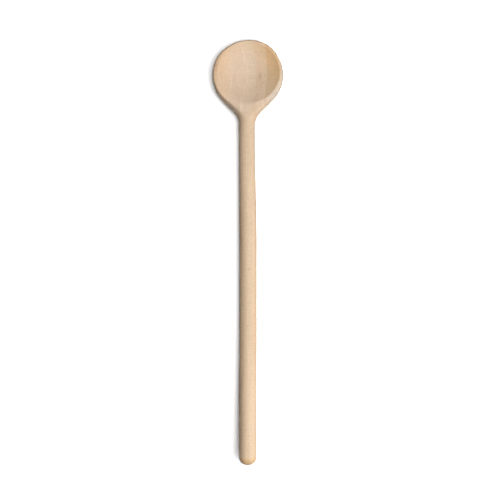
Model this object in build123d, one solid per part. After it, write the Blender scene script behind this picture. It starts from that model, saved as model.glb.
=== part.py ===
# A round-headed cooking spoon, milled from one board of beech.
#
# The spoon lies with its bowl open upwards: +Y runs from the handle to the tip of the head,
# +X across the head and +Z up. The origin is below the middle of its length, at the height
# of the lowest point of the belly. Lengths are in millimetres and angles in degrees.
#
# The wood is one piece from end to tip. The head is a flattened ball, cut off flat at the rim.
# Two straight shoulders run from the head into the neck, and the neck swells into a plain
# round handle with a well rounded end. The hollow is a shallow dish, cut into the flat of the rim.

from build123d import *
import math
import os

# The whole spoon
overall_length = 300.0          # from the handle's end to the tip of the head
head_thickness = 14.0           # from the belly to the rim, as thick as the board

# The head
head_diameter = 50.0
uncut_dome_height = 18.5        # above the axis, where the head's walls would close over
side_rim_width = 3.0            # from the head's edge to the hollow's, at the left and the right
tip_rim_width = 3.0
back_rim_width = 4.6
hollow_depth = 7.6
hollow_edge_radius = 0.6

# The shoulders and the neck
shoulder_angle = 45.0           # between each straight shoulder and the axis
shoulder_fillet_radius = 12.5
neck_diameter = 11.0

# The handle
handle_diameter = 12.0
taper_length = 75.0             # from the neck to where the handle has its full diameter
end_rounding_radius = 5.0
end_rounding_limit_share = 0.9  # at most this share of the handle's radius

# How far the tool that cuts the rim flat runs past the wood
overrun = 5.0

# How many sections shape the head's back half, and how many the sweep down to the neck
head_sections = 7
sweep_sections = 12

head_radius = head_diameter / 2
neck_radius = neck_diameter / 2
handle_radius = handle_diameter / 2
axis_z = max(head_thickness, handle_diameter) / 2
belly_depth = head_thickness / 2
rim_z = axis_z + head_thickness / 2
tip_y = overall_length / 2
end_y = -overall_length / 2
head_y = tip_y - head_radius

# Each shoulder leaves the head's circle here, measured back from the middle of the head
angle = math.radians(shoulder_angle)
touch_back = head_radius * math.sin(angle)

# Seen from above, a fillet joins each straight shoulder to the neck, no longer than the straight
corner_back = head_radius / math.sin(angle) - neck_radius / math.tan(angle)
straight_length = (corner_back - touch_back) / math.cos(angle)
fillet_radius = min(shoulder_fillet_radius, straight_length / math.tan(angle / 2))
fillet_reach = fillet_radius * math.tan(angle / 2)
fillet_start = corner_back - fillet_reach * math.cos(angle)
fillet_end = corner_back + fillet_reach

# Seen from the side, one hollow sweep leaves the dome smoothly and ends level with the neck
touch_rise = uncut_dome_height * math.cos(angle)
touch_slope = math.atan(uncut_dome_height / head_radius * math.tan(angle))
sweep_radius = (touch_rise - neck_radius) / (1 - math.cos(touch_slope))
sweep_end = touch_back + sweep_radius * math.sin(touch_slope)

# The neck is round from here, and the handle begins
neck_back = max(sweep_end, fillet_end)
neck_y = head_y - neck_back
full_y = neck_y - taper_length


def half_width(back):
    """Half the width across the spoon, at a distance back from the middle of the head."""
    if back <= touch_back:
        return math.sqrt(head_radius**2 - back**2)
    if back <= fillet_start:
        return neck_radius + (corner_back - back) * math.tan(angle)
    if back < fillet_end:
        return neck_radius + fillet_radius - math.sqrt(fillet_radius**2 - (fillet_end - back) ** 2)
    return neck_radius


def rise(back):
    """Height of the uncut upper surface above the axis, along the middle of the spoon."""
    if back <= touch_back:
        return uncut_dome_height * math.sqrt(1 - (back / head_radius) ** 2)
    if back < sweep_end:
        return neck_radius + sweep_radius - math.sqrt(sweep_radius**2 - (sweep_end - back) ** 2)
    return neck_radius


def depth(back):
    """Depth of the underside below the axis, which eases from the belly to the neck."""
    share = (1 + math.cos(math.pi * back / neck_back)) / 2
    return neck_radius + (belly_depth - neck_radius) * share


def cross_section(back):
    """A closed section across the spoon: half an ellipse above the axis and half below it."""
    plane = Plane(origin=(0, head_y - back, axis_z), x_dir=(1, 0, 0), z_dir=(0, -1, 0))
    upper = EllipticalCenterArc((0, 0), half_width(back), rise(back), 0, arc_size=180)
    lower = EllipticalCenterArc((0, 0), half_width(back), depth(back), 180, arc_size=180)
    return Wire([plane * upper, plane * lower])


def head_front():
    """The half of the head with the tip, still uncut: a ball that is flatter below the axis."""
    centre = (0, axis_z)
    outline = EllipticalCenterArc(centre, head_radius, belly_depth, 270, arc_size=90)
    outline += EllipticalCenterArc(centre, head_radius, uncut_dome_height, 0, arc_size=90)
    outline += Line(outline @ 1, outline @ 0)
    profile = Pos(0, head_y, 0) * (Plane.XZ * make_face(outline))
    return revolve(profile, Axis((0, head_y, 0), (0, 0, 1)), revolution_arc=180)


def shoulders():
    """The back half of the head and its sweep down to the neck, as one smooth skin."""
    quarter_turn = math.pi / 2
    head_backs = [touch_back * math.sin(quarter_turn * i / head_sections) for i in range(head_sections)]
    sweep_step = (neck_back - touch_back) / sweep_sections
    sweep_backs = [touch_back + sweep_step * i for i in range(sweep_sections + 1)]
    return Solid.make_loft([cross_section(back) for back in head_backs + sweep_backs])


def handle():
    """The round stick: a slow taper from the neck, the plain handle and its rounded end."""
    rounding = min(end_rounding_radius, end_rounding_limit_share * handle_radius)
    centre = (handle_radius - rounding, end_y + rounding)
    outline = Line((0, neck_y), (neck_radius, neck_y))
    outline += Line((neck_radius, neck_y), (handle_radius, full_y))
    outline += Line((handle_radius, full_y), (handle_radius, end_y + rounding))
    outline += CenterArc(centre, rounding, 0, arc_size=-90)
    outline += Line((handle_radius - rounding, end_y), (0, end_y))
    outline += Line((0, end_y), (0, neck_y))
    return Pos(0, 0, axis_z) * revolve(make_face(outline), Axis.Y)


def above_rim():
    """Everything above the board's upper face, which is the flat of the rim."""
    width = head_diameter + 2 * overrun
    length = overall_length + 2 * overrun
    height = uncut_dome_height + overrun
    return Pos(0, 0, rim_z) * Box(width, length, height, align=(Align.CENTER, Align.CENTER, Align.MIN))


def hollow():
    """The dish: part of a ball that is squeezed a little along the spoon."""
    width = head_diameter - 2 * side_rim_width
    length = head_diameter - tip_rim_width - back_rim_width
    middle_y = head_y + (back_rim_width - tip_rim_width) / 2
    ball_radius = ((width / 2) ** 2 + hollow_depth**2) / (2 * hollow_depth)
    ball = scale(Sphere(ball_radius), by=(1, length / width, 1))
    return Pos(0, middle_y, rim_z - hollow_depth + ball_radius) * ball


def spoon():
    """The whole spoon, with the edge of its hollow sanded round."""
    wood = handle() + shoulders() + head_front()
    wood -= above_rim()
    wood -= hollow()
    rim = wood.faces().filter_by(GeomType.PLANE).sort_by(Axis.Z)[-1]
    return fillet(rim.inner_wires()[0].edges(), hollow_edge_radius)


os.makedirs("parts", exist_ok=True)
export_step(spoon(), "parts/spoon.step")
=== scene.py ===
import math

import bpy
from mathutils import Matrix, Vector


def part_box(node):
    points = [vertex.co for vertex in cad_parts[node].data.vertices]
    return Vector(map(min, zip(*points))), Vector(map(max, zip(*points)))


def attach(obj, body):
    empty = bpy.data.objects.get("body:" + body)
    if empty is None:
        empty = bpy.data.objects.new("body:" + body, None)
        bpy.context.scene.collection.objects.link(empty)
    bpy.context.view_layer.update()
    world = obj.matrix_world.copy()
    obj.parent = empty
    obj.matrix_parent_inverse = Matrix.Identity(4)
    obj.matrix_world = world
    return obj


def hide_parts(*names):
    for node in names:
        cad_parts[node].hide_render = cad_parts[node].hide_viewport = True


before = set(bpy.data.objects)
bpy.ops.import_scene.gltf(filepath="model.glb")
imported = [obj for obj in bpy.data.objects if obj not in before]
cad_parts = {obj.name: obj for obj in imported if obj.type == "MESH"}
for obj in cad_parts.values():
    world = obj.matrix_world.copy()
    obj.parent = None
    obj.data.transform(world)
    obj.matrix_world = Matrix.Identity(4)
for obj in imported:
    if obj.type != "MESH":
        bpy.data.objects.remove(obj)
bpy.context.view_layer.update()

# One millimetre in Blender's metres
MM = 0.001


# Helpers

def colour(code):
    """Turns an sRGB hex value into the linear colour that Blender's sockets take."""
    parts = [int(code[i:i + 2], 16) / 255 for i in (0, 2, 4)]
    return [c / 12.92 if c <= 0.04045 else ((c + 0.055) / 1.055) ** 2.4 for c in parts] + [1.0]


def add(tree, kind, inputs=None, **settings):
    """Adds one node to a tree, with its settings, and links or sets its inputs."""
    node = tree.nodes.new(kind)
    for name, value in settings.items():
        setattr(node, name, value)
    for place, value in (inputs or {}).items():
        if isinstance(value, bpy.types.Node):
            value = value.outputs[0]
        if isinstance(value, bpy.types.NodeSocket):
            tree.links.new(value, node.inputs[place])
        else:
            node.inputs[place].default_value = value
    return node


def fill_ramp(node, stops):
    """Gives a colour ramp its stops, each a place from 0 to 1 and a linear colour."""
    ramp = node.color_ramp
    while len(ramp.elements) < len(stops):
        ramp.elements.new(1.0)
    for element, (where, shade) in zip(ramp.elements, stops):
        element.position = where
        element.color = shade


def eased(low, high, value):
    """Goes smoothly from 0 at low to 1 at high."""
    share = min(max((value - low) / (high - low), 0.0), 1.0)
    return share * share * (3 - 2 * share)


def seen_share(tree):
    """Adds the nodes that give 1 for what is looked at, straight, in a reflection or through glass."""
    rays = add(tree, "ShaderNodeLightPath").outputs
    seen = add(tree, "ShaderNodeMath", {0: rays["Is Camera Ray"], 1: rays["Is Glossy Ray"]},
               operation="MAXIMUM")
    return add(tree, "ShaderNodeMath", {0: seen, 1: rays["Is Transmission Ray"]}, operation="MAXIMUM")


# The spoon's sizes in millimetres, the same as the solid's but for a few tenths

low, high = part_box("spoon")
end_y = low.y / MM
tip_y = high.y / MM
rim_z = high.z / MM
head_radius = (high.x - low.x) / MM / 2
head_y = tip_y - head_radius
axis_z = rim_z / 2
belly_depth = rim_z / 2
uncut_dome_height = 18.5
shoulder_angle = math.radians(45)
shoulder_fillet_radius = 12.5
neck_radius = 5.65
handle_radius = 6.15
taper_length = 75.0
hollow_depth = 7.6
hollow_half_width = 21.9
hollow_half_length = 21.5
hollow_middle_y = head_y + 1.5

# The dome at the end is a little more pointed than the solid's, and as long as the photograph shows
end_dome_height = 5.15

# The head's walls rise more steeply than the solid's dome by this share at the widest line. That
# fades out this far behind the head's middle, and partly towards the tip.
steeper_walls = 0.35
steeper_until_back = 26.0
lost_at_tip = 0.45

# Each shoulder leaves the head's circle here, measured back from the middle of the head
touch_back = head_radius * math.sin(shoulder_angle)
corner_back = head_radius / math.sin(shoulder_angle) - neck_radius / math.tan(shoulder_angle)
fillet_reach = shoulder_fillet_radius * math.tan(shoulder_angle / 2)
fillet_start = corner_back - fillet_reach * math.cos(shoulder_angle)
fillet_end = corner_back + fillet_reach

# Seen from the side, a hollow sweep runs from the dome down to the neck
touch_rise = uncut_dome_height * math.cos(shoulder_angle)
touch_slope = math.atan(uncut_dome_height / head_radius * math.tan(shoulder_angle))
sweep_radius = (touch_rise - neck_radius) / (1 - math.cos(touch_slope))
neck_back = touch_back + sweep_radius * math.sin(touch_slope)
neck_y = head_y - neck_back
full_y = neck_y - taper_length

# What the photograph shows beside the regular shape: the left shoulder and the left of the tip were
# sanded less, the neck stands a little to the left, and the stick is neither quite round nor straight.
# Each fuller place has what it adds, how far behind the head's middle that is, and how far it spreads.
fuller_left = 0.85
fuller_left_back = 19.5
fuller_left_spread = 8.0
fuller_tip_left = 0.5
fuller_tip_left_back = -17.0
fuller_tip_left_spread = 6.0
handle_squareness = 0.03
neck_squareness = 0.06
squarer_from_y = 0.0

# Where the middle line stands to the right, or to the left where it is below 0, and where along the
# spoon, or how far from the head's middle, each of these shifts begins and is complete
tip_shift = 0.9
tip_shift_front = (10.0, 23.0)
neck_shift = -0.65
neck_shift_from_back = 22.0
neck_shift_from_y = 5.0
handle_shift = 0.15
end_shift = -0.15
end_shift_y = (-60.0, -110.0)
hollow_shift = 0.45


def half_width(back):
    """Half the width across the head and neck, at a distance back from the head's middle."""
    if back <= touch_back:
        return math.sqrt(max(head_radius**2 - back**2, 0.0))
    if back <= fillet_start:
        return neck_radius + (corner_back - back) * math.tan(shoulder_angle)
    if back < fillet_end:
        across = math.sqrt(shoulder_fillet_radius**2 - (fillet_end - back) ** 2)
        return neck_radius + shoulder_fillet_radius - across
    return neck_radius


def rise(back):
    """Height of the uncut upper surface above the axis, whose walls are steepest at the widest line."""
    if back <= touch_back:
        uncut = uncut_dome_height * math.sqrt(max(1 - (back / head_radius) ** 2, 0.0))
    else:
        uncut = neck_radius + sweep_radius - math.sqrt(sweep_radius**2 - (neck_back - back) ** 2)
    if back > 0:
        steeper = 1 - eased(0, steeper_until_back, back)
    else:
        steeper = 1 - lost_at_tip * eased(0, head_radius, -back)
    return uncut * (1 + steeper_walls * steeper)


def depth(back):
    """Depth of the underside below the axis, which eases from the belly to the neck."""
    if back < 0:
        return belly_depth * math.sqrt(max(1 - (back / head_radius) ** 2, 0.0))
    share = (1 + math.cos(math.pi * back / neck_back)) / 2
    return neck_radius + (belly_depth - neck_radius) * share


def stick_radius(y):
    """Radius of the round handle, with its slow taper and its domed end."""
    if y < end_y + end_dome_height:
        from_top = (end_y + end_dome_height - y) / end_dome_height
        return handle_radius * math.sqrt(max(1 - from_top**2, 0.0))
    return handle_radius + (neck_radius - handle_radius) * eased(full_y, neck_y, y)


def stick_middle(y):
    """How far the stick's middle line stands to the side, from its end up to the neck."""
    near_neck = eased(neck_shift_from_y, neck_y, y)
    near_end = eased(*end_shift_y, y)
    return handle_shift + (neck_shift - handle_shift) * near_neck + (end_shift - handle_shift) * near_end


def squareness(y):
    """How far the stick's section stands out between its sides and its top, as a share of its radius."""
    near_neck = eased(squarer_from_y, neck_y, y)
    return handle_squareness + (neck_squareness - handle_squareness) * near_neck


def section(y):
    """One place along the spoon: middle, half width, what the left has more, squareness, rise, depth."""
    if y <= neck_y:
        radius = stick_radius(y)
        return stick_middle(y), radius, 0.0, squareness(y), radius, radius
    back = head_y - y
    shift = neck_shift * eased(neck_shift_from_back, neck_back, back)
    shift += tip_shift * eased(*tip_shift_front, -back)
    fuller = fuller_left * math.exp(-(((back - fuller_left_back) / fuller_left_spread) ** 2))
    fuller += fuller_tip_left * math.exp(-(((back - fuller_tip_left_back) / fuller_tip_left_spread) ** 2))
    square = neck_squareness * eased(touch_back, neck_back, back)
    return shift, half_width(back), fuller, square, rise(back), depth(back)


def steps(first, last, pitch):
    """Places from the first up to the last, which is left out, about a pitch apart."""
    count = round((last - first) / pitch)
    return [first + (last - first) * i / count for i in range(count)]


# Places from the handle's end to the tip, closer together at the domes and where the hollow begins

end_turns = steps(0, math.pi / 2, math.pi / 28)
tip_turns = steps(0, math.pi / 2, math.pi / 164)
hollow_back_y = hollow_middle_y - hollow_half_length
places = [end_y + end_dome_height * (1 - math.cos(turn)) for turn in end_turns]
places += steps(end_y + end_dome_height, full_y, 2.0)
places += steps(full_y, neck_y, 1.5)
places += steps(neck_y, hollow_back_y - 3, 0.5)
places += steps(hollow_back_y - 3, hollow_back_y + 3, 0.25)
places += steps(hollow_back_y + 3, head_y, 0.5)
places += [head_y + head_radius * math.sin(turn) for turn in tip_turns]
places += [tip_y]

spine = bpy.data.meshes.new("spoon_spine")
spine.from_pydata([(section(y)[0] * MM, y * MM, axis_z * MM) for y in places], [], [])
widths = spine.attributes.new("widths", "FLOAT_VECTOR", "POINT")
heights = spine.attributes.new("heights", "FLOAT_VECTOR", "POINT")
for i, y in enumerate(places):
    _, half, fuller, square, up, down = section(y)
    widths.data[i].vector = (half * MM, fuller * MM, square)
    heights.data[i].vector = (up * MM, down * MM, 0)

# Beech, sanded smooth and left bare and dry. It gives the eye a pale pinkish tan with hardly any
# shine, broad growth layers, fine lines along the board, fine cross lines where the rays lie open,
# and short dark spindles.

# How often each pattern of the wood repeats in a millimetre: across, along and through the board.
# Real fibres are 0.02 mm wide and real rays 0.1 mm, too fine to show where a pixel of the photograph
# is 0.7 mm, so both are drawn about 0.8 mm wide, and the pores, 0.06 mm in the wood, as coarse.
wander_per_mm = (0.03, 0.012, 0.03)
fading_per_mm = (0.12, 0.045, 0.12)
fibres_per_mm = (1.3, 0.035, 1.3)
rays_per_mm = (0.14, 1.0, 1.3)
spindles_per_mm = (1.3, 0.3, 1.3)
drift_per_mm = (0.07, 0.02, 0.07)
pores_per_mm = 1.4

# The growth layers lie at this angle to the board's faces, and their colours span this width of it
layer_angle = math.radians(20)
layers_from_mm = -28.0
layers_to_mm = 32.0

wood = bpy.data.materials.new("beech_sanded_bare")
wood.use_nodes = True
tree = wood.node_tree
tree.nodes.clear()
object_place = add(tree, "ShaderNodeTexCoord")
in_mm = add(tree, "ShaderNodeVectorMath", {0: object_place.outputs["Object"], "Scale": 1 / MM},
            operation="SCALE")
board = add(tree, "ShaderNodeMapping", {"Vector": in_mm, "Rotation": (0, layer_angle, 0)})

# Growth layers, about 8 mm apart, which wander slowly along the board
slow = add(tree, "ShaderNodeMapping", {"Vector": board, "Scale": wander_per_mm})
wander = add(tree, "ShaderNodeTexNoise", {"Vector": slow, "Scale": 1.0, "Detail": 1.0})
wander_mm = add(tree, "ShaderNodeMapRange", {"Value": wander, 3: -1.5, 4: 1.5})
across = add(tree, "ShaderNodeSeparateXYZ", {0: board})
layer_mm = add(tree, "ShaderNodeMath", {0: across, 1: wander_mm}, operation="ADD")
layer_share = add(tree, "ShaderNodeMapRange", {"Value": layer_mm, 1: layers_from_mm, 2: layers_to_mm})
layers = add(tree, "ShaderNodeValToRGB", {0: layer_share})
fill_ramp(layers, [
    (0.10, colour("E3BF96")),
    (0.32, colour("E6C4A0")),
    (0.345, colour("E2C3A3")),
    (0.46, colour("E2C4A4")),
    (0.475, colour("E5C8A8")),
    (0.59, colour("E7CBAA")),
    (0.61, colour("E9C7A4")),
    (0.72, colour("F0D0AC")),
    (0.735, colour("E9C398")),
    (0.78, colour("EDC79D")),
    (0.88, colour("EFCAA0")),
])

# The pale line of each year's first wood, which fades in and out along the board
lines = add(tree, "ShaderNodeValToRGB", {0: layer_share})
fill_ramp(lines, [
    (0.325, colour("000000")),
    (0.338, colour("FFFFFF")),
    (0.355, colour("000000")),
    (0.462, colour("000000")),
    (0.472, colour("FFFFFF")),
    (0.486, colour("000000")),
    (0.585, colour("000000")),
    (0.598, colour("AAAAAA")),
    (0.606, colour("000000")),
    (0.72, colour("000000")),
    (0.73, colour("AAAAAA")),
    (0.738, colour("000000")),
])
fading_place = add(tree, "ShaderNodeMapping", {"Vector": board, "Scale": fading_per_mm})
fading = add(tree, "ShaderNodeTexNoise", {"Vector": fading_place, "Scale": 1.0, "Detail": 2.0})
fading = add(tree, "ShaderNodeMapRange", {"Value": fading, 1: 0.38, 2: 0.62, 3: 0.0, 4: 0.7})
line_share = add(tree, "ShaderNodeMath", {0: lines, 1: fading}, operation="MULTIPLY")
layers = add(tree, "ShaderNodeMix", {0: line_share, 6: layers, 7: colour("F2D8B8")}, data_type="RGBA")
layers = layers.outputs[2]

# Fine fibres along the board
along = add(tree, "ShaderNodeMapping", {"Vector": board, "Scale": fibres_per_mm})
fibres = add(tree, "ShaderNodeTexNoise", {"Vector": along, "Scale": 1.0, "Detail": 4.0, "Roughness": 0.6})
fibre_tone = add(tree, "ShaderNodeMapRange", {"Value": fibres, 1: 0.25, 2: 0.75, 3: 0.92, 4: 1.05})

# Rays: ribbons that reach across the board, seen as fine cross lines on its upper face
crosswise = add(tree, "ShaderNodeMapping", {"Vector": in_mm, "Scale": rays_per_mm})
rays = add(tree, "ShaderNodeTexNoise", {"Vector": crosswise, "Scale": 1.0, "Detail": 2.0})
ray_tone = add(tree, "ShaderNodeMapRange", {"Value": rays, 1: 0.3, 2: 0.7, 3: 0.94, 4: 1.04})

# Short dark spindles, the ends of wide rays
spindle_place = add(tree, "ShaderNodeMapping", {"Vector": in_mm, "Scale": spindles_per_mm})
spindles = add(tree, "ShaderNodeTexNoise", {"Vector": spindle_place, "Scale": 1.0, "Detail": 1.0})
spindle_share = add(tree, "ShaderNodeMapRange", {"Value": spindles, 1: 0.655, 2: 0.73, 3: 0.0, 4: 0.26})

# Broad drift in tone along the board
drift_place = add(tree, "ShaderNodeMapping", {
    "Vector": board,
    "Location": (3, 1, 5),
    "Scale": drift_per_mm,
})
drift = add(tree, "ShaderNodeTexNoise", {"Vector": drift_place, "Scale": 1.0, "Detail": 2.0})
drift_tone = add(tree, "ShaderNodeMapRange", {"Value": drift, 1: 0.3, 2: 0.7, 3: 0.97, 4: 1.03})

tone = add(tree, "ShaderNodeMath", {0: fibre_tone, 1: ray_tone}, operation="MULTIPLY")
tone = add(tree, "ShaderNodeMath", {0: tone, 1: drift_tone}, operation="MULTIPLY")
toned = add(tree, "ShaderNodeVectorMath", {0: layers, "Scale": tone}, operation="SCALE")

# Patches of the board, each with its middle, its squeeze and how far from its middle it begins and
# ends to fade, in mm
patches = {
    "bowl_middle": ((0, head_y, 0), (1, 1, 0), 8, 20),
    # painted light that brightens the back of the bowl
    "bowl_bottom_painted_light": ((-4, head_y - 14, 0), (0.8, 1, 0), 2, 13),
    "grey": ((-1, head_y - 5, 0), (1, 1, 0), 13, 29),
    "warm": ((17, head_y + 10, 0), (1, 0.8, 0), 0, 14),
    "warm_tip": ((14, head_y + 17, 0), (1, 1, 0), 2, 9),
    "tip": ((-4, head_y + 19, 0), (1, 1, 0), 3, 13),
    # painted light that brightens and greys the outer edge at the tip
    "tip_edge_painted_light": ((-2, head_y + 26, 0), (0.4, 1, 0), 1, 4),
    # painted light that brightens the outer wall at the left
    "left_edge_painted_light": ((-26, head_y - 3, 0), (1, 0.3, 0), 1, 4.5),
    "olive": ((18, head_y - 5, 0), (1, 0.8, 0), 3, 14),
    "cool": ((17, head_y - 15, 0), (1, 1, 0), 0, 13),
    "inside_rim": ((hollow_shift, hollow_middle_y, 0), (1, 1, 0), 21.5, 23),
    # a painted sheen, paler and greyer, on the upper part of the rim at the right
    "right_rim_sheen": ((24, head_y - 6, 0), (1, 1, 0), 8, 24),
    "bowl_shade": ((11, head_y, 0), (1, 0.8, 0), 1, 9),
    "bowl_fleck": ((8.6, head_y - 0.9, 0), (1, 0.5, 0), 0.3, 1.9),
    "handle_fleck": ((0.6, -11.7, 0), (1, 0.4, 0), 0.1, 0.7),
}
shares = {}
for name, (middle_mm, squeeze, near, far) in patches.items():
    offset = add(tree, "ShaderNodeVectorMath", {0: in_mm, 1: middle_mm}, operation="SUBTRACT")
    offset = add(tree, "ShaderNodeVectorMath", {0: offset, 1: squeeze}, operation="MULTIPLY")
    distance = add(tree, "ShaderNodeVectorMath", {0: offset}, operation="LENGTH")
    shares[name] = add(tree, "ShaderNodeMapRange", {
        "Value": distance.outputs["Value"],
        1: near,
        2: far,
        3: 1.0,
        4: 0.0,
    }, interpolation_type="SMOOTHSTEP")

# The bowl's wood is greyer than the handle's, but warm at its upper right. The rim's upper part at the
# right is painted paler and greyer, a painted sheen of the light from the right, and the handle's end
# grain is stronger in colour. The tip's outer edge gets painted light, paler and greyer as well.
place_mm = add(tree, "ShaderNodeSeparateXYZ", {0: in_mm}).outputs
along_mm = place_mm["Y"]
outside = add(tree, "ShaderNodeMath", {0: 1.0, 1: shares["inside_rim"]}, operation="SUBTRACT")
rim_painted_sheen = add(tree, "ShaderNodeMath", {0: outside, 1: shares["right_rim_sheen"]}, operation="MULTIPLY")
near_rim = add(tree, "ShaderNodeMapRange", {"Value": place_mm["Z"], 1: 5.0, 2: 12.0})
rim_painted_sheen = add(tree, "ShaderNodeMath", {0: rim_painted_sheen, 1: near_rim}, operation="MULTIPLY")
end_grain = add(tree, "ShaderNodeMapRange", {"Value": along_mm, 1: -146.5, 2: -143.5, 3: 1.0, 4: 0.0})
saturation = 1.035
for share, change in (
    (shares["grey"], -0.14),
    (shares["cool"], -0.10),
    (shares["warm"], 0.07),
    (shares["warm_tip"], 0.02),
    (shares["tip"], -0.03),
    (shares["tip_edge_painted_light"], -0.10),
    (rim_painted_sheen, -0.24),
    (end_grain, 0.28),
):
    saturation = add(tree, "ShaderNodeMath", {0: share, 1: change, 2: saturation}, operation="MULTIPLY_ADD")

# The handle is brightest at its end, and the neck and the head are a little darker than the handle.
# The bowl is pale all round a darker middle. Painted light brightens the bowl's back wall, the outer
# edge at the tip and the outer wall at the left, standing in for light that the lamps do not give them.
bright_handle = add(tree, "ShaderNodeMapRange", {"Value": along_mm, 1: -140.0, 2: -80.0, 3: 1.03, 4: 1.0})
darker_neck = add(tree, "ShaderNodeMapRange", {"Value": along_mm, 1: 48.0, 2: 64.0, 3: 0.0, 4: -0.04})
darker_head = add(tree, "ShaderNodeMapRange", {"Value": along_mm, 1: 95.0, 2: 104.0, 3: 0.0, 4: -0.018})
bright_bowl = add(tree, "ShaderNodeMapRange", {"Value": along_mm, 1: 102.0, 2: 106.0, 3: 0.0, 4: 0.043})
bright_side = add(tree, "ShaderNodeMath", {0: 1.0, 1: shares["bowl_middle"]}, operation="SUBTRACT")
brightness = add(tree, "ShaderNodeMath", {0: bright_handle, 1: darker_neck}, operation="ADD")
brightness = add(tree, "ShaderNodeMath", {0: brightness, 1: darker_head}, operation="ADD")
brightness = add(tree, "ShaderNodeMath", {0: bright_bowl, 1: bright_side, 2: brightness},
                 operation="MULTIPLY_ADD")
for share, change in (
    (shares["bowl_bottom_painted_light"], 0.03),
    (shares["warm_tip"], -0.04),
    (shares["tip"], 0.045),
    (shares["tip_edge_painted_light"], 0.08),
    (shares["left_edge_painted_light"], 0.09),
    (shares["olive"], -0.02),
    (shares["bowl_shade"], -0.03),
    (rim_painted_sheen, -0.03),
):
    brightness = add(tree, "ShaderNodeMath", {0: share, 1: change, 2: brightness}, operation="MULTIPLY_ADD")

# Pores in the end grain, as fine dots
pores = add(tree, "ShaderNodeTexNoise", {
    "Vector": in_mm,
    "Scale": pores_per_mm,
    "Detail": 2.0,
    "Roughness": 0.7,
})
pore_depth = add(tree, "ShaderNodeMapRange", {"Value": pores, 1: 0.35, 2: 0.6, 3: -0.09, 4: 0.04})
brightness = add(tree, "ShaderNodeMath", {0: end_grain, 1: pore_depth, 2: brightness},
                 operation="MULTIPLY_ADD")
hue = add(tree, "ShaderNodeMath", {0: shares["olive"], 1: 0.006, 2: 0.5}, operation="MULTIPLY_ADD")
toned = add(tree, "ShaderNodeHueSaturation", {
    "Color": toned,
    "Hue": hue,
    "Saturation": saturation,
    "Value": brightness,
})

# Two larger flecks, one in the bowl and one on the handle, join the spindles
flecks = add(tree, "ShaderNodeMath", {0: shares["bowl_fleck"], 1: shares["handle_fleck"]},
             operation="ADD")
fleck_share = add(tree, "ShaderNodeMath", {0: flecks, 1: 0.28, 2: spindle_share},
                  operation="MULTIPLY_ADD", use_clamp=True)
flecked = add(tree, "ShaderNodeMix", {0: fleck_share, 6: toned, 7: colour("A9794F")}, data_type="RGBA")

# The sanded grain stands up by hundredths of a millimetre, and the paler fibres shine a little more
grain_height = add(tree, "ShaderNodeMath", {0: fibres, 1: rays}, operation="ADD")
bump = add(tree, "ShaderNodeBump", {"Height": grain_height, "Distance": 0.05 * MM, "Strength": 0.6})
roughness = add(tree, "ShaderNodeMapRange", {"Value": fibres, 1: 0.3, 2: 0.7, 3: 0.66, 4: 0.56})
surface = add(tree, "ShaderNodeBsdfPrincipled", {
    "Base Color": flecked.outputs[2],
    "Roughness": roughness,
    "Normal": bump,
    "IOR": 1.5,
    "Specular IOR Level": 0.3,
})
add(tree, "ShaderNodeOutputMaterial", {"Surface": surface})

# The spoon: sections swept along the spine, cut flat at the rim and hollowed

# The facet faces this far from the left towards the tip
facet_angle = math.radians(25)

# The edges of the rim and of the hollow grow softer along the spoon, and by these shares of that
# towards the left
rim_leftward = 0.35
hollow_leftward = 0.6

shape = bpy.data.node_groups.new("milled_spoon", "GeometryNodeTree")
shape.interface.new_socket(name="Geometry", in_out="OUTPUT", socket_type="NodeSocketGeometry")
shape.interface.new_socket(name="Spine", in_out="INPUT", socket_type="NodeSocketGeometry")
ball_radius = (hollow_half_width**2 + hollow_depth**2) / (2 * hollow_depth)
named_sizes = {
    "Points around": ("Int", 224),
    "Rim height": ("Float", rim_z * MM),
    "Rim rounding": ("Float", 0.8 * MM),
    "Rim rounding at tip": ("Float", 2.4 * MM),
    "Rim softens from": ("Float", 4 * MM),
    "Rim softens to": ("Float", 21 * MM),
    "Head middle along": ("Float", head_y * MM),
    "Facet start": ("Float", 21.2 * MM),
    "Facet slope": ("Float", 0.22),
    "Facet rounding": ("Float", 0.5 * MM),
    "Hollow ball radius": ("Float", ball_radius * MM),
    "Hollow depth": ("Float", hollow_depth * MM),
    "Hollow middle across": ("Float", hollow_shift * MM),
    "Hollow middle along": ("Float", hollow_middle_y * MM),
    "Hollow stretch along": ("Float", hollow_half_length / hollow_half_width),
    "Hollow crisp rounding": ("Float", 0.6 * MM),
    "Hollow soft rounding": ("Float", 2.4 * MM),
    "Hollow softens from share": ("Float", 0.46),
    "Hollow softens to share": ("Float", 0.64),
    "Sanded away": ("Float", 0.08 * MM),
    "Sanding pitch": ("Float", 22 * MM),
    "Wood": ("Material", wood),
}
sockets = {}
for name, (kind, value) in named_sizes.items():
    sockets[name] = shape.interface.new_socket(name=name, in_out="INPUT", socket_type="NodeSocket" + kind)

given = add(shape, "NodeGroupInput").outputs
size_of_spine = add(shape, "GeometryNodeAttributeDomainSize", {0: given["Spine"]})
grid = add(shape, "GeometryNodeMeshGrid", {
    "Vertices X": size_of_spine.outputs["Point Count"],
    "Vertices Y": given["Points around"],
})
index = add(shape, "GeometryNodeInputIndex")
row = add(shape, "ShaderNodeMath", {0: index, 1: given["Points around"]}, operation="DIVIDE")
row = add(shape, "ShaderNodeMath", {0: row}, operation="FLOOR")
column = add(shape, "ShaderNodeMath", {0: index, 1: given["Points around"]}, operation="MODULO")
last_column = add(shape, "ShaderNodeMath", {0: given["Points around"], 1: 1.0}, operation="SUBTRACT")
turn = add(shape, "ShaderNodeMath", {0: column, 1: last_column}, operation="DIVIDE")
turn = add(shape, "ShaderNodeMath", {0: turn, 1: 2 * math.pi}, operation="MULTIPLY")
cosine = add(shape, "ShaderNodeMath", {0: turn}, operation="COSINE")
sine = add(shape, "ShaderNodeMath", {0: turn}, operation="SINE")

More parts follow.
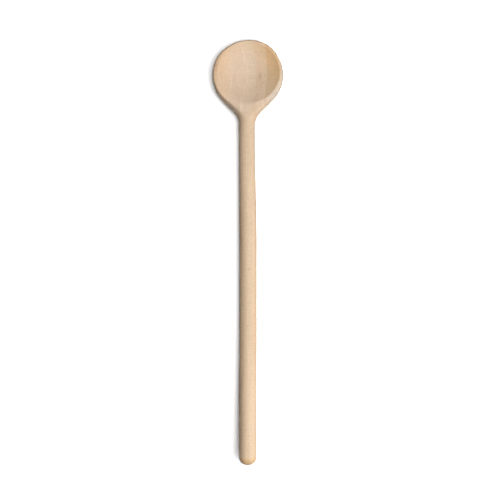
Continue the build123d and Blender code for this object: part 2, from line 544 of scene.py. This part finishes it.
# What the spine says at this row
where = add(shape, "GeometryNodeInputPosition")
width_name = add(shape, "GeometryNodeInputNamedAttribute", {"Name": "widths"}, data_type="FLOAT_VECTOR")
height_name = add(shape, "GeometryNodeInputNamedAttribute", {"Name": "heights"}, data_type="FLOAT_VECTOR")
spine_parts = []
for field in (where, width_name, height_name):
    sampled = add(shape, "GeometryNodeSampleIndex",
                  {"Geometry": given["Spine"], "Value": field, "Index": row}, data_type="FLOAT_VECTOR")
    spine_parts.append(add(shape, "ShaderNodeSeparateXYZ", {0: sampled}).outputs)
centre, width, height = spine_parts

# A squarer section stands out a little more half way between its sides and its top, where the
# square of sine times cosine is a quarter
corner = add(shape, "ShaderNodeMath", {0: sine, 1: cosine}, operation="MULTIPLY")
corner = add(shape, "ShaderNodeMath", {0: corner, 1: corner}, operation="MULTIPLY")
corner = add(shape, "ShaderNodeMath", {0: corner, 1: 4.0}, operation="MULTIPLY")
reach = add(shape, "ShaderNodeMath", {0: corner, 1: width["Z"], 2: 1.0}, operation="MULTIPLY_ADD")
cosine = add(shape, "ShaderNodeMath", {0: cosine, 1: reach}, operation="MULTIPLY")
sine = add(shape, "ShaderNodeMath", {0: sine, 1: reach}, operation="MULTIPLY")

# Across: half the width, and what the left side has more, which is most at its widest.
# Upwards: the rise above the axis and the depth below it.
x = add(shape, "ShaderNodeMath", {0: cosine, 1: width["X"], 2: centre["X"]}, operation="MULTIPLY_ADD")
on_left = add(shape, "ShaderNodeMath", {0: cosine, 1: 0.0}, operation="LESS_THAN")
up_or_down = add(shape, "ShaderNodeMath", {0: sine}, operation="ABSOLUTE")
level = add(shape, "ShaderNodeMath", {0: 1.0, 1: up_or_down}, operation="SUBTRACT")
level = add(shape, "ShaderNodeMath", {0: level, 1: level}, operation="MULTIPLY")
more = add(shape, "ShaderNodeMath", {0: level, 1: on_left}, operation="MULTIPLY")
more = add(shape, "ShaderNodeMath", {0: more, 1: width["Y"]}, operation="MULTIPLY")
x = add(shape, "ShaderNodeMath", {0: x, 1: more}, operation="SUBTRACT")
upward = add(shape, "ShaderNodeMath", {0: sine, 1: 0.0}, operation="MAXIMUM")
downward = add(shape, "ShaderNodeMath", {0: sine, 1: 0.0}, operation="MINIMUM")
z = add(shape, "ShaderNodeMath", {0: upward, 1: height["X"], 2: centre["Z"]}, operation="MULTIPLY_ADD")
z = add(shape, "ShaderNodeMath", {0: downward, 1: height["Y"], 2: z}, operation="MULTIPLY_ADD")

# The rim is cut flat, and its outer edge is sanded round, more so towards the tip and the upper left
along_head = add(shape, "ShaderNodeMath", {0: centre["Y"], 1: given["Head middle along"]},
                 operation="SUBTRACT")
tipward = add(shape, "ShaderNodeMath", {0: x, 1: -rim_leftward, 2: along_head}, operation="MULTIPLY_ADD")
rim_rounding = add(shape, "ShaderNodeMapRange", {
    "Value": tipward,
    1: given["Rim softens from"],
    2: given["Rim softens to"],
    3: given["Rim rounding"],
    4: given["Rim rounding at tip"],
}, interpolation_type="SMOOTHSTEP")
z = add(shape, "ShaderNodeMath", {0: z, 1: given["Rim height"], 2: rim_rounding}, operation="SMOOTH_MIN")

# A flat facet was sanded on the rim at the upper left, where it slopes down outwards
from_head = add(shape, "ShaderNodeCombineXYZ", {0: x, 1: along_head})
facet_way = (-math.cos(facet_angle), math.sin(facet_angle), 0.0)
outward = add(shape, "ShaderNodeVectorMath", {0: from_head, 1: facet_way}, operation="DOT_PRODUCT")
past_start = add(shape, "ShaderNodeMath", {0: outward.outputs["Value"], 1: given["Facet start"]},
                 operation="SUBTRACT")
facet_drop = add(shape, "ShaderNodeMath", {0: past_start, 1: given["Facet slope"]}, operation="MULTIPLY")
facet = add(shape, "ShaderNodeMath", {0: given["Rim height"], 1: facet_drop}, operation="SUBTRACT")
z = add(shape, "ShaderNodeMath", {0: z, 1: facet, 2: given["Facet rounding"]}, operation="SMOOTH_MIN")

# The hollow's ball, squeezed a little along the spoon
ball_x = add(shape, "ShaderNodeMath", {0: x, 1: given["Hollow middle across"]}, operation="SUBTRACT")
ball_y = add(shape, "ShaderNodeMath", {0: centre["Y"], 1: given["Hollow middle along"]},
             operation="SUBTRACT")
ball_y = add(shape, "ShaderNodeMath", {0: ball_y, 1: given["Hollow stretch along"]}, operation="DIVIDE")
flat_part = add(shape, "ShaderNodeCombineXYZ", {0: ball_x, 1: ball_y})
from_middle = add(shape, "ShaderNodeVectorMath", {0: flat_part}, operation="LENGTH")
radius = given["Hollow ball radius"]
radius_squared = add(shape, "ShaderNodeMath", {0: radius, 1: radius}, operation="MULTIPLY")
inside = add(shape, "ShaderNodeMath", {0: from_middle.outputs["Value"], 1: from_middle.outputs["Value"]},
             operation="MULTIPLY")
inside = add(shape, "ShaderNodeMath", {0: radius_squared, 1: inside}, operation="SUBTRACT")
inside = add(shape, "ShaderNodeMath", {0: inside, 1: 0.0}, operation="MAXIMUM")
drop = add(shape, "ShaderNodeMath", {0: inside, 1: 0.5}, operation="POWER")
ball_top = add(shape, "ShaderNodeMath", {0: given["Rim height"], 1: given["Hollow depth"]},
               operation="SUBTRACT")
ball_top = add(shape, "ShaderNodeMath", {0: ball_top, 1: radius}, operation="ADD")
dish = add(shape, "ShaderNodeMath", {0: ball_top, 1: drop}, operation="SUBTRACT")

# Its edge is crisp at the right and softly sanded at the tip, the back and the left
lengthwise = add(shape, "ShaderNodeMath", {0: ball_y}, operation="ABSOLUTE")
softness = add(shape, "ShaderNodeMath", {0: ball_x, 1: -hollow_leftward, 2: lengthwise},
               operation="MULTIPLY_ADD")
softness = add(shape, "ShaderNodeMath", {0: softness, 1: radius}, operation="DIVIDE")
edge_rounding = add(shape, "ShaderNodeMapRange", {
    "Value": softness,
    1: given["Hollow softens from share"],
    2: given["Hollow softens to share"],
    3: given["Hollow crisp rounding"],
    4: given["Hollow soft rounding"],
}, interpolation_type="SMOOTHSTEP")
hollowed = add(shape, "ShaderNodeMath", {0: z, 1: dish, 2: edge_rounding}, operation="SMOOTH_MIN")

# Only the upper side is hollowed
upper_side = add(shape, "ShaderNodeMath", {0: sine, 1: 0.0}, operation="GREATER_THAN")
z = add(shape, "ShaderNodeMix", {0: upper_side, 2: z, 3: hollowed}, data_type="FLOAT")
swept = add(shape, "ShaderNodeCombineXYZ", {0: x, 1: centre["Y"], 2: z})
skin = add(shape, "GeometryNodeSetPosition", {"Geometry": grid, "Position": swept})
skin = add(shape, "GeometryNodeMergeByDistance", {"Geometry": skin, "Distance": 0.002 * MM})

# Hand sanding takes a little more here and a little less there, in patches that are twice as long
# along the spoon as across it
inverse_pitch = add(shape, "ShaderNodeMath", {0: 1.0, 1: given["Sanding pitch"]}, operation="DIVIDE")
here = add(shape, "GeometryNodeInputPosition")
squeezed = add(shape, "ShaderNodeVectorMath", {0: here, 1: (1.0, 0.5, 1.0)}, operation="MULTIPLY")
uneven = add(shape, "ShaderNodeTexNoise", {"Vector": squeezed, "Scale": inverse_pitch, "Detail": 1.0})
taken = add(shape, "ShaderNodeMath", {0: uneven, 1: given["Sanded away"]}, operation="MULTIPLY")
taken = add(shape, "ShaderNodeMath", {0: taken, 1: -1.0}, operation="MULTIPLY")
normal = add(shape, "GeometryNodeInputNormal")
inward = add(shape, "ShaderNodeVectorMath", {0: normal, "Scale": taken}, operation="SCALE")
skin = add(shape, "GeometryNodeSetPosition", {"Geometry": skin, "Offset": inward})
skin = add(shape, "GeometryNodeSetShadeSmooth", {"Geometry": skin})
skin = add(shape, "GeometryNodeRealizeInstances", {"Geometry": skin})
skin = add(shape, "GeometryNodeSetMaterial", {"Geometry": skin, "Material": given["Wood"]})
add(shape, "NodeGroupOutput", {"Geometry": skin})

spoon = bpy.data.objects.new("beech_spoon", spine)
bpy.context.scene.collection.objects.link(spoon)
modifier = spoon.modifiers.new("milled_spoon", "NODES")
modifier.node_group = shape
for name, (kind, value) in named_sizes.items():
    modifier[sockets[name].identifier] = value
evaluated = spoon.evaluated_get(bpy.context.evaluated_depsgraph_get())
finished = bpy.data.meshes.new_from_object(evaluated)
spoon.modifiers.remove(modifier)
spoon.data = finished
finished.name = "beech_spoon"

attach(spoon, "root")
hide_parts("spoon")

# The floor: a matt white sheet that touches the belly and the handle, which is not quite straight in
# the photograph: its end stands clear of the sheet, so the shadow is wider there. Between these two
# distances in metres from its middle, the sheet passes into a plain white without shadows.

floor_near = 0.20
floor_far = 0.36

# How much light the sheet throws back on the spoon, and how bright it is where it is seen
floor_thrown_back = 0.14
floor_as_seen = 1.8

floor_paint = bpy.data.materials.new("floor_white_matt")
floor_paint.use_nodes = True
tree = floor_paint.node_tree
tree.nodes.clear()
seen = seen_share(tree)
floor_place = add(tree, "ShaderNodeTexCoord")
away = add(tree, "ShaderNodeVectorMath", {0: floor_place.outputs["Object"]}, operation="LENGTH")
far_share = add(tree, "ShaderNodeMapRange", {"Value": away.outputs["Value"], 1: floor_near, 2: floor_far})
plain_share = add(tree, "ShaderNodeMath", {0: far_share, 1: seen}, operation="MULTIPLY")
pale = add(tree, "ShaderNodeMapRange", {"Value": seen, 3: floor_thrown_back, 4: floor_as_seen})
near_floor = add(tree, "ShaderNodeBsdfDiffuse", {"Color": pale})
plain_white = add(tree, "ShaderNodeEmission", {"Color": colour("FFFFFF"), "Strength": 1.0})
floor_surface = add(tree, "ShaderNodeMixShader", {0: plain_share, 1: near_floor, 2: plain_white})
add(tree, "ShaderNodeOutputMaterial", {"Surface": floor_surface})

# The sheet's size is in metres, and the rest in millimetres
floor_reach = 6.0
touch_y = 45.0
sag_from = -30.0
sag_to = -160.0
sag = 5.5
sag_power = 1.5
floor_row_pitch = 5.0
slope = (axis_z - stick_radius(touch_y)) / (head_y - touch_y)
floor_rows = [-floor_reach / MM] + steps(sag_to, touch_y, floor_row_pitch) + [touch_y, floor_reach / MM]
floor_points = []
for y in floor_rows:
    if y > touch_y:
        height = slope * (head_y - y)
    else:
        sunk = min(max((y - sag_from) / (sag_to - sag_from), 0.0), 1.0)
        height = axis_z - stick_radius(max(y, sag_from)) - sag * sunk**sag_power
    floor_points += [(-floor_reach, y * MM, height * MM), (floor_reach, y * MM, height * MM)]
floor_faces = [(2 * i, 2 * i + 1, 2 * i + 3, 2 * i + 2) for i in range(len(floor_rows) - 1)]
floor_mesh = bpy.data.meshes.new("floor")
floor_mesh.from_pydata(floor_points, [], floor_faces)
floor_mesh.materials.append(floor_paint)
floor = bpy.data.objects.new("floor", floor_mesh)
bpy.context.scene.collection.objects.link(floor)

# The room: white where it is seen, and a soft even light elsewhere

even_light = 0.04
world = bpy.data.worlds.new("white_room")
world.use_nodes = True
bpy.context.scene.world = world
tree = world.node_tree
tree.nodes.clear()
strength = add(tree, "ShaderNodeMapRange", {"Value": seen_share(tree), 3: even_light, 4: 1.0})
sky = add(tree, "ShaderNodeBackground", {"Color": colour("FFFFFF"), "Strength": strength})
add(tree, "ShaderNodeOutputWorld", {"Surface": sky})

# Lamps: each stands at a place and looks at a point on the spoon, both in metres, and has a width,
# a power in watts and a tint

lamps = {
    "overhead_light": ((0.145, 0.065, 0.85), (0.0, 0.02, 0.0), 0.52, 4.75, (1.0, 1.0, 1.0)),
    "low_side_light": ((0.45, -0.26, 0.32), (0.0, -0.02, 0.0), 0.25, 2.05, (0.95, 1.0, 1.08)),
    "tip_light": ((0.0, 0.65, 0.35), (0.0, 0.0, 0.0), 0.30, 0.4, (1.0, 1.0, 1.0)),
}
for name, (stand, aim, side, watts, tint) in lamps.items():
    lamp_data = bpy.data.lights.new(name, "AREA")
    lamp_data.shape = "DISK"
    lamp_data.size = side
    lamp_data.energy = watts
    lamp_data.color = tint
    lamp = bpy.data.objects.new(name, lamp_data)
    lamp.location = stand
    direction = [a - s for a, s in zip(aim, stand)]
    lamp.rotation_euler = Vector(direction).to_track_quat("-Z", "Y").to_euler()
    lamp.visible_camera = False
    bpy.context.scene.collection.objects.link(lamp)

# The camera looks straight down from 1.1 m, 500 by 500 pixels of 0.7056 mm at the axis's height

camera_height = 1.1
frame_width = 0.3528
camera_data = bpy.data.cameras.new("overhead")
camera_data.sensor_width = 36.0
camera_data.lens = camera_data.sensor_width * camera_height / frame_width
camera = bpy.data.objects.new("overhead", camera_data)
camera.location = (1.49 * MM, 1.75 * MM, axis_z * MM + camera_height)
bpy.context.scene.collection.objects.link(camera)
bpy.context.scene.camera = camera
bpy.context.scene.view_settings.view_transform = "Standard"
